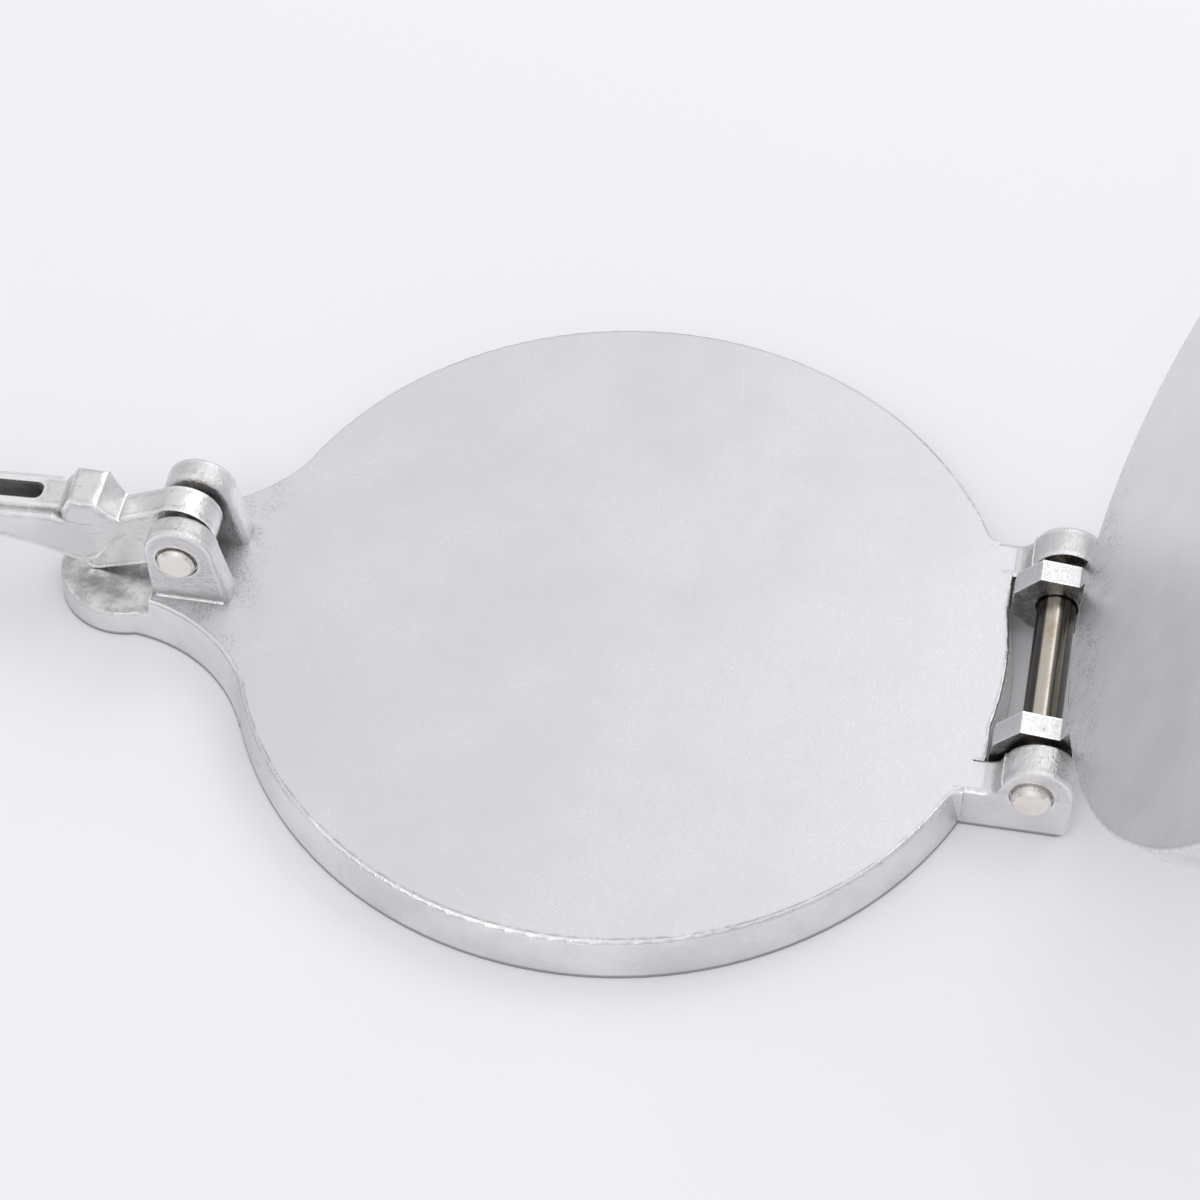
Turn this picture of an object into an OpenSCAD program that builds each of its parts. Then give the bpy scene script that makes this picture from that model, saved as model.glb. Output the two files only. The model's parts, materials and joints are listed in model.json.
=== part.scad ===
// Hand press for flattening dough: two hinged cast plates and a lever that
// swings over them. The plate centre on the table is the origin, the hinge is
// on the +X side and the lever on the -X side. The press stands open.

/* [Plates] */
// Diameter of the two working faces
plate_d = 160; // [120:1:240]
// Height of the base plate's working face above the table
base_h = 10.5; // [10:0.1:16]
// How far a cast wall of the base spreads from its top edge to the table
draft = 1.4; // [0.2:0.1:3]
// Thickness of the base plate between its ribs
base_web = 5.2; // [3:0.1:8]
// Thickness of the top plate at its rim
top_h = 8.2; // [6.5:0.1:12]
// Thickness of the top plate between its ribs
top_web = 4.6; // [3:0.1:6]
// Width of the rim around each plate's ribbed side
rim_w = 5; // [3:0.1:10]
// Width of a stiffening rib
rib_w = 4; // [2.5:0.1:8]
// Number of ribs on each plate
rib_count = 6; // [3:1:12]
// Diameter of the hub where the ribs meet
hub_d = 26; // [16:1:50]
// Rounding of the cast edges
edge_r = 0.7; // [0.4:0.1:1.2]
// Gap between the working faces when the press is shut
shut_gap = 0.7; // [0.4:0.1:3]

/* [Plate hinge] */
// Distance from the plates' edge to the axis of the hinge pin
hinge_out = 8.3; // [8:0.1:14]
// Angle between shut and open, where the heels of the top plate bear on the base
open_angle = 118; // [105:1:125]
// Diameter of both pins
pin_d = 8; // [5:0.1:8.6]
// Length of pin that stands out at each end
pin_proud = 1.1; // [0.3:0.1:4]
// Radial play of a pin in the casting that it turns in
pin_play = 0.06; // [0.02:0.01:0.1]
// Radial gap of a pin in the casting that holds it
pin_seat = 0.02; // [0.01:0.005:0.03]
// Width of the sunk ring around the mouth of a pin hole
sink_w = 0.45; // [0.2:0.05:0.8]
// Depth of the sunk ring
sink_deep = 1.2; // [0.5:0.1:1.5]
// Gap between the two lugs of the base
lug_gap = 46.4; // [42:0.1:70]
// Thickness of a lug at its foot
lug_t = 9.6; // [7:0.1:14]
// Rounding of a lug's cast edges
lug_round = 1.9; // [0.8:0.1:2.2]
// Width of a lug's knuckle, front to back
lug_w = 14.8; // [13:0.1:18]
// How far a lug's middle lies beyond the pin axis
lug_shift = 1; // [0:0.1:2]
// Height of a lug's crown over the pin axis
lug_crown = 7.8; // [7.4:0.1:10]
// How far both faces of a lug lean together from foot to crown
lug_lean = 1.2; // [0.2:0.1:1.6]
// Gap between the two hinge arms of the top plate
arm_gap = 33.6; // [20:0.1:34.2]
// Thickness of a hinge arm
arm_t = 5.4; // [3.5:0.1:5.4]
// How far the top plate has slid along its pin towards one lug
side_slip = 0.6; // [0:0.1:0.7]
// Distance from the pin axis to the facets of an arm's knuckle
knuckle_r = 9.35; // [8:0.05:9.5]
// Distance from the pin axis to the heel that stops the top plate
heel_reach = 9.6; // [9.5:0.05:9.9]

/* [Lever bearing] */
// Distance from the plates' edge to the axis of the lever pin
pivot_out = 11.1; // [10.6:0.1:14]
// Height of the lever pin over the shut top plate
pivot_rise = 2.3; // [1.5:0.1:4]
// Gap between the two ears
ear_gap = 9.8; // [8.5:0.1:16]
// Thickness of an ear at its root
ear_t = 6; // [4:0.1:9]
// Slant of an ear's side towards the plate, in degrees
ear_slant = 10; // [4:0.5:12]
// Rounding of an ear's cast edges
ear_round = 1.3; // [0.6:0.1:1.6]
// How far an ear's outer face leans in from root to crown
ear_lean = 0.7; // [0:0.1:1.5]
// Width of an ear, front to back
ear_w = 14.9; // [13:0.1:17]
// Height of an ear's crown over the lever pin
ear_crown = 9; // [8:0.1:12]
// Distance from the plates' edge to the centre of the round foot of the tongue
foot_out = 26.2; // [24:0.1:32]
// Radius of the round foot at the height of the step
foot_r = 14.5; // [13.5:0.1:18]
// Height of the step that the lever rests on
step_h = 6.3; // [4:0.1:8]
// Radius of the hollow sides between the plate and the tongue
neck_r = 36; // [28:0.5:44]
// Distance from the centre of the foot to the hollow sides
neck_half = 12.4; // [11.8:0.1:13.2]
// How far the hollow sides spread from their top edge to the table
neck_spread = 1.9; // [0.5:0.1:2.4]

/* [Lever] */
// Length from the lever pin to the tip of the handle
lever_len = 185; // [120:1:260]
// Radius of the lever's barrel
barrel_r = 7.5; // [6.6:0.1:8]
// Width of the lever between the ears
web_w = 6.6; // [5:0.1:8]
// Width of the lever at its cam
cam_w = 11; // [9:0.1:14]
// Width of the handle near its tip
tip_w = 13; // [10:0.1:20]
// Distance from the lever pin to the near side of the cam's pad
cam_near = 17.1; // [16.5:0.1:20]
// Length of the cam's pad along the lever
cam_l = 7.7; // [5:0.1:9]
// Height of the cam's pad over the lever pin
cam_h = 8.1; // [6:0.1:8.2]
// Thickness of the handle under its raised rim
handle_t = 7.6; // [6:0.1:12]
// Fall of the handle towards its tip, in mm per mm
handle_fall = 0.06; // [0:0.005:0.06]
// Height of the raised rim along the top of the handle
brim_h = 1.6; // [0.5:0.1:3]
// Width across the raised rim
brim_w = 7.6; // [5.5:0.1:8]
// Width of the channel along the top of the handle
channel_w = 4.4; // [2:0.1:4.8]
// Depth of the channel under the raised rim
channel_deep = 5.4; // [2:0.1:6.5]

/* [Hidden] */
$fn = 96;
over = 0.5;
stop_gap = 0.2;
foot_spread = 0.6;

plate_r = plate_d / 2;
hinge_x = plate_r + hinge_out;
hinge_z = base_h + shut_gap;
shut_top = hinge_z + top_h;
pivot_x = -plate_r - pivot_out;
pivot_z = shut_top + pivot_rise;
foot_x = -plate_r - foot_out;
pin_r = pin_d / 2;
lug_out = lug_gap / 2 + lug_t;
ear_out = ear_gap / 2 + ear_t;
lug_root = plate_r - 16;
lug_mid = hinge_x + lug_shift;
ear_mid = pivot_x + 0.55;
step_x = ear_mid - ear_w / 2;
heel_seat_x = hinge_x - heel_reach - stop_gap;

// ---- flat helpers -----------------------------------------------------

// A rectangle with all four corners rounded, lower left corner at [x, y]
module round_rect(x, y, w, h, r) {
    translate([x + r, y]) square([w - 2 * r, h]);
    translate([x, y + r]) square([w, h - 2 * r]);
    for (u = [x + r, x + w - r], v = [y + r, y + h - r])
        translate([u, v]) circle(r);
}

// The piece between a square corner at the origin and a round of radius r
module corner(r) {
    difference() {
        square(r);
        translate([r, r]) circle(r);
    }
}

// Stands a shape drawn in X and Z up, between y0 and y1
module side_on(y0, y1) {
    translate([0, y1, 0]) rotate([90, 0, 0]) linear_extrude(y1 - y0) children();
}

// Runs a shape drawn in Y and Z along X, between x0 and x1
module end_on(x0, x1) {
    translate([x0, 0, 0]) rotate([90, 0, 90]) linear_extrude(x1 - x0) children();
}

// A hole for a pin across the press, with a sunk ring at both mouths
module cross_hole(x, z, r, y0, y1) {
    translate([x, y0 - over, z]) rotate([-90, 0, 0]) cylinder(r = r, h = y1 - y0 + 2 * over);
    for (start = [y0 - over, y1 - sink_deep])
        translate([x, start, z]) rotate([-90, 0, 0])
            cylinder(r = r + sink_w, h = sink_deep + over);
}

// A pin across the press with both ends bevelled
module cross_pin(x, z, reach) {
    bevel = 0.6;
    translate([x, 0, z]) rotate([90, 0, 0]) rotate_extrude()
        polygon([[0, -reach], [pin_r - bevel, -reach], [pin_r, bevel - reach],
                 [pin_r, reach - bevel], [pin_r - bevel, reach], [0, reach]]);
}

// A point turned about the origin, one given by radius and angle, and five along an arc
function turned(p, a) = [p[0] * cos(a) - p[1] * sin(a), p[0] * sin(a) + p[1] * cos(a)];
function polar(r, a) = [r * cos(a), r * sin(a)];
function bend(at, r, a0, a1) = [for (i = [0 : 4]) at + polar(r, a0 + (a1 - a0) * i / 4)];

// ---- plates -----------------------------------------------------------

// Half section of a cast disc whose wall spreads downwards, top edge rounded
module disc_section(r, spread, h) {
    difference() {
        polygon([[0, 0], [r + spread, 0], [r, h], [0, h]]);
        translate([r, h]) rotate(180) corner(edge_r);
        translate([r - 0.001, h - edge_r]) square([edge_r, edge_r + over]);
    }
}

// The ribbed hollow on one side of a plate, as the space to take away
module rib_hollow(depth) {
    wall = plate_r - rim_w;
    slope = depth / 6;
    difference() {
        rotate_extrude()
            polygon([[hub_d / 2 - slope, -over], [wall + slope, -over], [wall, depth],
                     [hub_d / 2, depth]]);
        for (i = [0 : rib_count - 1])
            rotate(360 / rib_count * (i + 0.5)) translate([0, -rib_w / 2, -2 * over])
                cube([plate_r, rib_w, depth + 3 * over]);
    }
}

// ---- base -------------------------------------------------------------

// Centre of the hollow side of the neck, which just cuts into the plate
neck_bite = 0.35;
neck_d = -foot_x;
neck_a = plate_r + neck_r - neck_bite;
neck_b = neck_half + neck_r;
neck_x = -(neck_d * neck_d + neck_a * neck_a - neck_b * neck_b) / (2 * neck_d);
neck_y = sqrt(neck_a * neck_a - neck_x * neck_x);

// A hollow side as a cutter, leaving a rounded edge at height h
module hollow_cutter(r, spread, h) {
    top_r = r - spread * (1 - h / base_h);
    rotate_extrude() {
        polygon([[0, -over], [r - spread * (1 + over / base_h), -over], [top_r, h], [0, h]]);
        translate([top_r - 0.1, h]) mirror([0, 1]) corner(edge_r + 0.1);
        translate([0, h - 0.001]) square([top_r + edge_r, 2 * base_h]);
    }
}

module tongue() {
    touch_plate = [neck_x, neck_y] * plate_r / neck_a;
    past_foot = [foot_x, 0] + [neck_x - foot_x, neck_y] * (neck_half + 3) / neck_b;
    half = [[0, 0], touch_plate, [neck_x, neck_y], past_foot, [foot_x, 0]];
    difference() {
        linear_extrude(base_h)
            polygon(concat(half, [for (i = [3 : -1 : 1]) [half[i][0], -half[i][1]]]));
        for (side = [0, 1]) mirror([0, side, 0])
            translate([neck_x, neck_y, 0]) hollow_cutter(neck_r, neck_spread, base_h);
        translate([step_x - 100, -100, step_h]) cube([100, 200, base_h]);
    }
    translate([foot_x, 0, 0]) rotate_extrude() disc_section(foot_r, foot_spread, step_h);
}

// An upright of rounded plan with a half round, round-edged head. It stands
// between y0 and y1, its middle at x, and its head is centred at head_z.
module upright(x, w, head_z, y0, y1, r) {
    linear_extrude(head_z) round_rect(x - w / 2, y0, w, y1 - y0, r);
    difference() {
        translate([x, y0, head_z]) rotate([-90, 0, 0]) rotate_extrude() {
            square([w / 2 - r, y1 - y0]);
            translate([0, r]) square([w / 2, y1 - y0 - 2 * r]);
            for (y = [r, y1 - y0 - r])
                translate([w / 2 - r, y]) circle(r);
        }
        translate([x - w, y0 - over, head_z - w]) cube([2 * w, y1 - y0 + 2 * over, w]);
    }
}

// Inside corner between a lug's low arm and its knuckle, with rounded lips
module lug_bend(x, r, y0, y1) {
    depth = 5;
    intersection() {
        translate([x - r, y0, base_h + r]) rotate([-90, 0, 0]) rotate_extrude()
            difference() {
                translate([r - lug_round, 0]) round_rect(lug_round, 0, 20, y1 - y0, lug_round);
                translate([r + depth, -over]) square([40, y1 - y0 + 2 * over]);
            }
        translate([x - r, y0 - over, base_h - depth])
            cube([r + depth, y1 - y0 + 2 * over, r + depth]);
    }
    translate([x - r, y0, 0]) cube([r + 2, y1 - y0, base_h - depth + 2]);
}

module lug() {
    left = lug_mid - lug_w / 2;
    right = lug_mid + lug_w / 2;
    inner = lug_gap / 2;
    high = hinge_z + lug_crown;
    bend = 3.5;
    heel = 3.5;
    difference() {
        intersection() {
            end_on(lug_root - over, right + over)
                polygon([[inner, 0], [lug_out, 0], [lug_out - lug_lean, high],
                         [lug_out - lug_lean, high + over], [inner + lug_lean, high + over],
                         [inner + lug_lean, high]]);
            union() {
                upright(lug_mid, lug_w, high - lug_w / 2, inner, lug_out, lug_round);
                end_on(lug_root, left - bend)
                    round_rect(inner, -4, lug_t, base_h + 4, lug_round);
                lug_bend(left, bend, inner, lug_out);
            }
        }
        side_on(inner - over, lug_out + over)
            translate([right, 0]) mirror([1, 0]) translate([-over, -over]) difference() {
                square(heel + over);
                translate([heel + over, heel + over]) circle(heel);
            }
    }
}

// Fills the inside corner between the plate's wall and the side of a lug
module lug_fillet() {
    r = 3;
    reach = plate_r + r - 0.1;
    mid_y = lug_out + r - 0.05;
    mid_x = sqrt(reach * reach - mid_y * mid_y);
    touch = [mid_x, mid_y] * plate_r / reach;
    difference() {
        linear_extrude(base_h)
            polygon([touch - [3, 2], touch, [mid_x, mid_y], [mid_x, lug_out - 2]]);
        translate([mid_x, mid_y, 0]) hollow_cutter(r, 0.001, base_h);
    }
}

// Flat seats on the rim of the base that the heels of the top plate bear on
module heel_seat() {
    inner = arm_gap / 2 - side_slip - 1.6;
    difference() {
        translate([lug_root, inner, 0])
            cube([heel_seat_x - lug_root, lug_gap / 2 + 1 - inner, base_h]);
        translate([heel_seat_x, 0, base_h]) rotate([-90, 0, 0]) linear_extrude(plate_r)
            mirror([1, 0]) corner(edge_r);
    }
}

// One ear of the lever bearing: one side upright, the other slanting to its foot
module ear() {
    left = ear_mid - ear_w / 2;
    right = ear_mid + ear_w / 2;
    inner = ear_gap / 2;
    high = pivot_z + ear_crown;
    head_z = high - ear_w / 2;
    leg = head_z - base_h * 0.65;
    foot = 0.8;
    intersection() {
        end_on(left - over, right + ear_w)
            polygon([[inner, 0], [ear_out, 0], [ear_out, base_h], [ear_out - ear_lean, high],
                     [ear_out - ear_lean, high + over], [inner, high + over]]);
        union() {
            upright(ear_mid, ear_w, head_z, inner, ear_out, ear_round);
            translate([ear_mid, 0, head_z]) rotate([0, -ear_slant, 0]) translate([0, 0, -leg])
                linear_extrude(leg)
                    round_rect(-ear_w / 2, inner, ear_w - 0.15, ear_out - inner, ear_round);
        }
    }
    end_on(left + ear_round, right + 1)
        translate([ear_out - 0.05, base_h - 0.05]) corner(foot + 0.05);
}

module base_plate() {
    color([0.83, 0.84, 0.85]) difference() {
        union() {
            rotate_extrude() disc_section(plate_r, draft, base_h);
            tongue();
            for (side = [0, 1]) mirror([0, side, 0]) {
                lug();
                lug_fillet();
                heel_seat();
                ear();
            }
        }
        rib_hollow(base_h - base_web);
        for (side = [0, 1]) mirror([0, side, 0]) {
            cross_hole(hinge_x, hinge_z, pin_r + pin_play, lug_gap / 2, lug_out);
            cross_hole(pivot_x, pivot_z, pin_r + pin_play, ear_gap / 2, ear_out);
        }
    }
}

// ---- top plate --------------------------------------------------------

// Side view of a hinge arm, shut, with the pin axis at the origin. Its corners
// are given as they stand when the press is open, and turned back from there.
module arm_outline() {
    root = hinge_out + 6.5;
    knuckle = [polar(knuckle_r, 115), polar(knuckle_r + 0.05, 161.4), [-heel_reach, -3],
               polar(knuckle_r - 0.3, 235), polar(knuckle_r - 0.25, 280)];
    polygon(concat([[-root, 0], [-hinge_out - 0.3, 0]],
                   [for (p = knuckle) turned(p, open_angle)],
                   [[3.6, top_h], [-root, top_h]]));
}

// The top plate as it lies when the press is shut, working face at z = 0
module shut_top_plate() {
    pad_x = -plate_r;
    pad_l = 17;
    pad_w = 18;
    difference() {
        union() {
            difference() {
                rotate_extrude() difference() {
                    translate([0, top_h]) mirror([0, 1]) disc_section(plate_r, 0, top_h);
                    translate([plate_r, top_h]) rotate(180) corner(edge_r);
                    translate([plate_r - 0.001, top_h - edge_r]) square([edge_r, edge_r + over]);
                }
                difference() {
                    translate([0, 0, top_h]) mirror([0, 0, 1]) rib_hollow(top_h - top_web);
                    translate([pad_x, -pad_w / 2, 0]) cube([pad_l, pad_w, top_h]);
                }
            }
            for (y0 = [arm_gap / 2, -arm_gap / 2 - arm_t])
                side_on(y0, y0 + arm_t) translate([hinge_x, 0]) arm_outline();
        }
        for (side = [0, 1]) mirror([0, side, 0])
            cross_hole(hinge_x, 0, pin_r + pin_seat, arm_gap / 2, arm_gap / 2 + arm_t);
    }
}

module top_plate() {
    color([0.8, 0.81, 0.82])
        translate([hinge_x, -side_slip, hinge_z]) rotate([0, open_angle, 0])
            translate([-hinge_x, 0, 0]) shut_top_plate();
}

module hinge_pin() {
    color([0.78, 0.75, 0.7]) cross_pin(hinge_x, hinge_z, lug_out + pin_proud);
}

// ---- lever ------------------------------------------------------------

// All lever shapes are drawn from the lever pin, handle towards -X, at rest.
barrel_at = [-1.2, 0.4];
toe = [-cam_near - 4.9, step_h + stop_gap - pivot_z];
ledge_z = 3.1;
ledge_x = -28;
function ledge(x) = ledge_z + handle_fall * (x - ledge_x);

// Thin web: barrel, neck and the toe that rests on the step
module web_outline() {
    waist_top = [-14.4, 2.3];
    translate([-cam_near - 0.1, waist_top[1] - 0.05]) corner(3.4);
    belly = [-10.2, (toe[1] - 7.4) / 2];
    translate(barrel_at) circle(barrel_r);
    polygon([barrel_at + polar(barrel_r * 0.99, 121), waist_top, [-cam_near - 1, waist_top[1]],
             [-cam_near - 9, 0], [-cam_near - 9, -6], toe + [-1.2, 0.5], toe, toe + [1.2, 0.1],
             belly, barrel_at + polar(barrel_r * 0.98, -75), barrel_at]);
}

// Broad body along the handle, seen from the side, with a dip under the cam
module body_outline() {
    belly_at = [-cam_near - 6.1, -4.9];
    belly_r = 5.2;
    dip = 1.9;
    translate(belly_at) circle(belly_r);
    polygon([[-cam_near + 1, dip], [-cam_near - cam_l, dip], [ledge_x, ledge(ledge_x)],
             [-lever_len, ledge(-lever_len)], [-lever_len, ledge(-lever_len) - handle_t],
             [-60, ledge(-60) - handle_t], [-40, ledge(-40) - handle_t - 0.2],
             [-32, -7.2], belly_at + polar(belly_r, 250), belly_at,
             belly_at + polar(belly_r * 0.99, -25), [body_near, -1.5], [body_near, 1.4]]);
}

// Half of the lever seen from above: it swells from the web to the cam
body_near = -cam_near + 4.6;
swell = [[body_near, web_w / 2 - 0.2], [-cam_near + 1.8, cam_w / 2 - 1.3],
         [-cam_near - 0.6, cam_w / 2 - 0.4], [-cam_near - 2.4, cam_w / 2]];

module plan_half() {
    half = cam_w / 2;
    tip = tip_w / 2;
    polygon(concat([[body_near, 0]], swell,
                   [[-lever_len * 0.55, half], [-lever_len + tip, tip], [-lever_len + tip, 0]]));
    intersection() {
        translate([-lever_len + tip, 0]) circle(tip);
        translate([-lever_len, 0]) square([tip, tip]);
    }
}

module plan_outline() {
    for (side = [0, 1]) mirror([0, side]) plan_half();
}

// The cam: a round-edged pad that stands up from the lever and presses on the
// top plate. It is what three outlines have in common: side, end and plan.
module cam() {
    far = -cam_near - cam_l;
    half = cam_w / 2;
    round = 1.8;
    top = half - 0.3;
    edge = 1.5;
    intersection() {
        side_on(-half, half)
            polygon(concat([[body_near, 0], [body_near, 1.7], [-cam_near + 2.6, 2.6],
                            [-cam_near + 1.1, cam_h - 3.6]],
                           bend([-cam_near - round, cam_h - round], round, 10, 90),
                           bend([far + round, cam_h - round], round, 90, 170),
                           [[far - 0.8, ledge(far) + brim_h + 0.4],
                            [far - 2.2, ledge(far) + brim_h - 0.4], [far - 2.2, 0]]));
        end_on(far - 5, 0)
            polygon(concat([[0.15 - half, -1], [half - 0.15, -1], [half - 0.15, 2]],
                           bend([top - edge, cam_h - edge], edge, 10, 90),
                           bend([edge - top, cam_h - edge], edge, 90, 170),
                           [[0.15 - half, 2]]));
        linear_extrude(20) for (side = [0, 1]) mirror([0, side])
            polygon(concat([[body_near, 0]], swell, bend([far + 1, half - 3], 3, 90, 170),
                           [[far - 2.2, 0]]));
    }
}

// Raised rim and channel along the top of the handle
brim_near = -cam_near - cam_l - 1;
brim_far = -lever_len + tip_w / 2 + 3;
channel_near = ledge_x - 3;
channel_far = brim_far + 7;

module brim() {
    half = brim_w / 2;
    intersection() {
        side_on(-half, half) polygon([[brim_near, ledge(brim_near) - 1],
                                      [brim_near, ledge(brim_near) + brim_h],
                                      [brim_far, ledge(brim_far) + brim_h],
                                      [brim_far, ledge(brim_far) - 1]]);
        linear_extrude(80, center = true) {
            translate([brim_far + half, -half]) square([brim_near - brim_far, brim_w]);
            translate([brim_far + half, 0]) circle(half);
        }
    }
}

module channel() {
    half = channel_w / 2;
    floor_drop = brim_h - channel_deep;
    intersection() {
        side_on(-half, half) polygon([[channel_near, ledge(channel_near) + brim_h + over],
                                      [channel_near, ledge(channel_near) + floor_drop],
                                      [channel_far, ledge(channel_far) + floor_drop],
                                      [channel_far, ledge(channel_far) + brim_h + over]]);
        linear_extrude(80, center = true)
            round_rect(channel_far, -half, channel_near - channel_far, channel_w, half * 0.8);
    }
}

module lever() {
    color([0.86, 0.86, 0.87]) translate([pivot_x, 0, pivot_z]) difference() {
        union() {
            side_on(-web_w / 2, web_w / 2) web_outline();
            intersection() {
                side_on(-tip_w, tip_w) body_outline();
                linear_extrude(80, center = true) plan_outline();
            }
            cam();
            brim();
        }
        channel();
        cross_hole(0, 0, pin_r + pin_seat, -web_w / 2, web_w / 2);
    }
}

module lever_pin() {
    color([0.78, 0.75, 0.7]) cross_pin(pivot_x, pivot_z, ear_out - 0.3 + pin_proud - 0.1);
}

base_plate();
top_plate();
lever();
hinge_pin();
lever_pin();
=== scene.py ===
# %% [markdown]
# # A small cast press for flat bread, dressed for a studio picture
# The press is five solid pieces: a round base casting, a round top casting on a
# hinge, a lever, and two turned pins. Their shapes are finished before this lesson
# starts and arrive as a fixed frame, so nothing here moves or reshapes them. What is
# left for Blender is what metal looks like: the skin that a mould leaves, the ground
# working faces, bright worn edges with painted highlights, hollows darkened with painted
# shade and grime, and turned steel with painted reflections.

# %% Load the frame
import json
import math

import bpy
from mathutils import Matrix, Vector


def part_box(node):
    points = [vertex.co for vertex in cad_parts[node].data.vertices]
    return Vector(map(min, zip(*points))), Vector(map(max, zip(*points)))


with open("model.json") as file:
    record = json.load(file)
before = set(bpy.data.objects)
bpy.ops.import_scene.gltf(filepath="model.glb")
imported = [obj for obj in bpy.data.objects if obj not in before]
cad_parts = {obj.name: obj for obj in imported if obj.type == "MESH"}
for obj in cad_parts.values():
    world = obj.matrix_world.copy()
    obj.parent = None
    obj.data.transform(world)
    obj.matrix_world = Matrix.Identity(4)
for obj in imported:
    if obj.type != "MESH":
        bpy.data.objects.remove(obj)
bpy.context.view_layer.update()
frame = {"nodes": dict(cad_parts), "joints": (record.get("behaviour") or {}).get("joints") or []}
node_of = frame["nodes"]
print("pieces:", ", ".join(sorted(node_of)))

# %% [markdown]
# ## The camera
# The picture is taken from above with a long lens, which keeps the round plate close
# to a plain ellipse. A camera in Blender looks along its own -Z axis, so it is placed,
# turned towards a point near the middle of the base, and then rolled a little about its
# own line of sight, as a hand-set tripod would be.

# %% Place the camera
MM = 0.001
camera_at = Vector((87.6, -416.4, 559.0)) * MM
looks_at = Vector((-6.87, 11.02, 0.0)) * MM
camera_roll = math.radians(-2.23)

lens = bpy.data.cameras.new("studio_camera")
lens.sensor_width = 36.0
lens.lens = 100.65
lens.clip_start = 0.01
lens.clip_end = 50.0
camera = bpy.data.objects.new("studio_camera", lens)
bpy.context.collection.objects.link(camera)
aim = (looks_at - camera_at).to_track_quat("-Z", "Y").to_matrix().to_4x4()
roll = Matrix.Rotation(camera_roll, 4, "Z")
camera.matrix_world = Matrix.Translation(camera_at) @ aim @ roll
bpy.context.scene.camera = camera
print("camera distance:", round((looks_at - camera_at).length, 3), "m")

# %% [markdown]
# ## Small helpers for node trees
# Every material below is a tree of nodes. Two helpers keep the cells short: add places a
# node, and fill types values into its sockets, or joins another node's output to them.
# The sum and the soft step are single nodes that come up again and again. Values that
# are the same all over a surface are typed straight into the shader's own sockets.

# %% Helpers that add and join nodes
def add(tree, kind, at, **settings):
    """Adds a node at a place in the editor; settings are its properties."""
    made = tree.nodes.new(kind)
    made.location = at
    for name, value in settings.items():
        setattr(made, name, value)
    return made


def join(made, slot, value):
    """Types a value into one socket of a node, or joins another node's output to it."""
    socket = made.inputs[slot]
    if isinstance(value, bpy.types.NodeSocket):
        made.id_data.links.new(value, socket)
    else:
        socket.default_value = value


def fill(made, **values):
    """Types in or joins several sockets by name, with underscores for spaces."""
    for name, value in values.items():
        join(made, name.replace("_", " "), value)
    return made


def maths(tree, operation, at, a, b=None, clamp=False):
    """One Math node. a and b are numbers or sockets."""
    made = add(tree, "ShaderNodeMath", at, operation=operation, use_clamp=clamp)
    join(made, 0, a)
    if b is not None:
        join(made, 1, b)
    return made.outputs[0]


def spread(tree, at, value, low, high, to_low=0.0, to_high=1.0):
    """One Map Range node with a soft step from low to high."""
    made = add(tree, "ShaderNodeMapRange", at, interpolation_type="SMOOTHSTEP")
    fill(made, Value=value, From_Min=low, From_Max=high, To_Min=to_low, To_Max=to_high)
    return made.outputs["Result"]


print("helpers ready: add, join, fill, maths, spread")

# %% [markdown]
# ## Groups and the patterns in them
# Wear, dirt, painted shade and painted highlights come back on every casting, so each such
# effect is built once, as a group of nodes with named inputs and outputs, and placed in
# each material with its own numbers. Two kinds of pattern feed the groups: a noise, which
# is cloudy, and cells, which give each small spot a middle and chance numbers of its own.

# %% Helpers for groups and patterns
FLOAT = "NodeSocketFloat"
VECTOR = "NodeSocketVector"


def start_group(name, inputs, outputs):
    """An empty group: its tree, the sockets that come in, and the node they leave by."""
    tree = bpy.data.node_groups.new(name, "ShaderNodeTree")
    for label, kind, value in inputs:
        made = tree.interface.new_socket(label, in_out="INPUT", socket_type=kind)
        if value is not None:
            made.default_value = value
    for label, kind in outputs:
        tree.interface.new_socket(label, in_out="OUTPUT", socket_type=kind)
    entry = add(tree, "NodeGroupInput", (-900, 0))
    leave = add(tree, "NodeGroupOutput", (900, 0))
    return tree, entry.outputs, leave


def noise_in(tree, at, place, scale, detail, roughness):
    """A Noise Texture that reads a place."""
    made = add(tree, "ShaderNodeTexNoise", at)
    fill(made, Vector=place, Scale=scale, Detail=detail, Roughness=roughness)
    return made.outputs["Fac"]


def cells_in(tree, row, place, scale):
    """A Voronoi Texture: how far off a cell's middle is, and three chance numbers."""
    cells = add(tree, "ShaderNodeTexVoronoi", (-600, row))
    fill(cells, Vector=place, Scale=scale)
    chance = add(tree, "ShaderNodeSeparateColor", (-400, row - 100))
    fill(chance, Color=cells.outputs["Color"])
    return cells.outputs["Distance"], chance.outputs


print("helpers ready: start_group, noise_in, cells_in")

# %% [markdown]
# ## A group for the skin of a casting
# Molten aluminium copies the mould it was poured in, so a casting is never smooth: it
# has a fine grain, shallow pits, and broad patches where it cooled a little differently.
# Blasting it with beads evens that out but leaves tiny facets that sparkle, and that sparkle
# is painted into the colour as small bright flecks, which are painted glints. All castings
# here share this skin, at different strengths, so it is one group that gives a height, a
# patchiness and a mask of bright flecks. Every pattern in it follows the size of the grain,
# so one number makes the whole skin finer or coarser.

# %% Group: cast skin
cast_skin, given, leave = start_group(
    "cast skin",
    [
        ("Place", VECTOR, None), ("Grain Scale", FLOAT, 2200.0),
        ("Fleck Share", FLOAT, 0.1), ("Lumps", FLOAT, 1.0),
    ],
    [("Height", FLOAT), ("Patches", FLOAT), ("Flecks", FLOAT)],
)
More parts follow.
